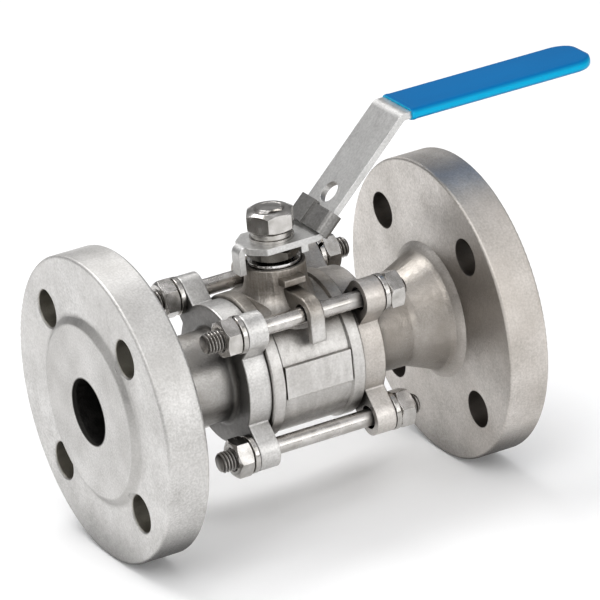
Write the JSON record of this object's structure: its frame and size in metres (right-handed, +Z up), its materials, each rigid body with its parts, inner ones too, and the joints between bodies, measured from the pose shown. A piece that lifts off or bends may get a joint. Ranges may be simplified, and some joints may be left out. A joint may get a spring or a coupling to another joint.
{
  "type": "ball valve",
  "caption": "Three-piece flanged full-bore ball valve: cast steel end caps clamped to a centre body by long studs, with a cranked lever, dipped grip and sliding padlock clip.",
  "frame": {"origin": "centre of the ball, where the flow bore's axis meets the stem's axis", "axes": "+X along the flow bore towards the outlet flange and the lever's grip, +Z up the stem, -Y towards the front with the blank type pad"},
  "size_m": [0.215, 0.115, 0.141],
  "materials": {
    "cast_body": "cast stainless steel, bead blasted, satin",
    "cast_cap": "cast stainless steel, bead blasted, with a turned raised face",
    "fastener_steel": "bright stainless fasteners",
    "stem_steel": "turned stainless steel",
    "lever_steel": "brushed stainless sheet",
    "slider_steel": "brushed stainless sheet, folded",
    "grip_vinyl": "blue dipped vinyl, smooth and glossy",
    "ball_steel": "polished stainless steel",
    "ptfe": "white PTFE"
  },
  "bodies": {
    "valve": {"centre_body": "cast_body", "gland_ring": "stem_steel", "inlet_body_seal": "ptfe", "inlet_end_cap": "cast_cap", "inlet_seat": "ptfe", "lock_washer_inlet_front_lower": "fastener_steel", "lock_washer_inlet_front_upper": "fastener_steel", "lock_washer_inlet_rear_lower": "fastener_steel", "lock_washer_inlet_rear_upper": "fastener_steel", "lock_washer_outlet_front_lower": "fastener_steel", "lock_washer_outlet_front_upper": "fastener_steel", "lock_washer_outlet_rear_lower": "fastener_steel", "lock_washer_outlet_rear_upper": "fastener_steel", "nut_inlet_front_lower": "fastener_steel", "nut_inlet_front_upper": "fastener_steel", "nut_inlet_rear_lower": "fastener_steel", "nut_inlet_rear_upper": "fastener_steel", "nut_outlet_front_lower": "fastener_steel", "nut_outlet_front_upper": "fastener_steel", "nut_outlet_rear_lower": "fastener_steel", "nut_outlet_rear_upper": "fastener_steel", "outlet_body_seal": "ptfe", "outlet_end_cap": "cast_cap", "outlet_seat": "ptfe", "packing_ring_lower": "ptfe", "packing_ring_middle": "ptfe", "packing_ring_upper": "ptfe", "stud_front_lower": "fastener_steel", "stud_front_upper": "fastener_steel", "stud_rear_lower": "fastener_steel", "stud_rear_upper": "fastener_steel", "thrust_washer": "ptfe"},
    "lever": {"stem": "stem_steel", "lever": "lever_steel", "grip_sleeve": "grip_vinyl", "handle_nut": "fastener_steel", "handle_spring_washer": "fastener_steel", "handle_washer": "fastener_steel", "gland_nut": "stem_steel", "disc_spring_lower": "stem_steel", "disc_spring_upper": "stem_steel"},
    "ball": {"ball": "ball_steel"},
    "lock_slider": {"lock_slider": "slider_steel"}
  },
  "joints": [
    {"name": "lever_turn", "type": "hinge", "parent": "valve", "child": "lever", "pos_m": [0, 0, 0], "axis": [0, 0, 1], "range_deg": [-90, 0]},
    {"name": "ball_turn", "type": "hinge", "parent": "valve", "child": "ball", "pos_m": [0, 0, 0], "axis": [0, 0, 1], "range_deg": [-90, 0]},
    {"name": "lock_slide", "type": "slide", "parent": "lever", "child": "lock_slider", "axis": [0.7254, 0, 0.6884], "range_m": [0, 0.012]}
  ],
  "couplings": [
    {"joint": "ball_turn", "follows": "lever_turn", "ratio": 1}
  ]
}
